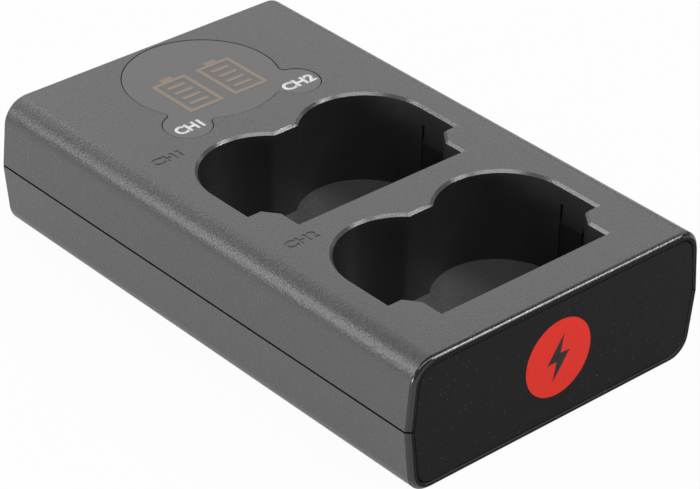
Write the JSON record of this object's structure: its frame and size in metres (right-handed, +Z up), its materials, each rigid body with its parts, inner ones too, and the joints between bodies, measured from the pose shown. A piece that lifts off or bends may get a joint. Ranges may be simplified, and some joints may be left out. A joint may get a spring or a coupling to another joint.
{
  "type": "camera battery charger",
  "caption": "Low rectangular charger with lobed open bays for camera battery packs, blade contacts in their floors, a flush display window and low-voltage inlets on one end.",
  "frame": {"origin": "middle of the underside", "axes": "+X towards the end with the plate, -X towards the display end with the inlets, +Z up"},
  "size_m": [0.09, 0.0556, 0.0215],
  "materials": {
    "housing": "fine matte moulding grain",
    "plate": "black, fine speckle",
    "window": "smoked, satin",
    "display_glass": "clear",
    "light_guide": "white diffuser",
    "lamp": "clear resin",
    "board": "green solder mask",
    "screw_steel": "zinc plated",
    "header_plastic": "moulded",
    "pin_metal": "gold flash",
    "inlet_steel": "drawn, nickel plated",
    "inlet_plastic": "moulded",
    "contact_plastic": "moulded",
    "contact_metal": "gold flash",
    "chip": "moulded",
    "ferrite": "pressed ferrite",
    "can": "bare",
    "resistor": "glazed"
  },
  "bodies": {
    "root": {"upper_housing": "housing", "lower_housing": "housing", "end_plate": "plate", "display_window": "window", "display_panel": "display_glass", "display_backlight": "light_guide", "display_lamps": "lamp", "display_board": "board", "main_board": "board", "display_board_screws": "screw_steel", "main_board_screws": "screw_steel", "housing_screws": "screw_steel", "header_strip": "header_plastic", "header_pins": "pin_metal", "round_inlet_shell": "inlet_steel", "micro_inlet_shell": "inlet_steel", "round_inlet_tongue": "inlet_plastic", "micro_inlet_tongue": "inlet_plastic", "contact_block_1": "contact_plastic", "contact_block_2": "contact_plastic", "contact_blades_1": "contact_metal", "contact_blades_2": "contact_metal", "controller_chip": "chip", "charger_chip_1": "chip", "charger_chip_2": "chip", "diodes": "chip", "inductor_1": "ferrite", "inductor_2": "ferrite", "capacitor_1": "can", "capacitor_2": "can", "chip_resistors": "resistor"}
  },
  "joints": []
}
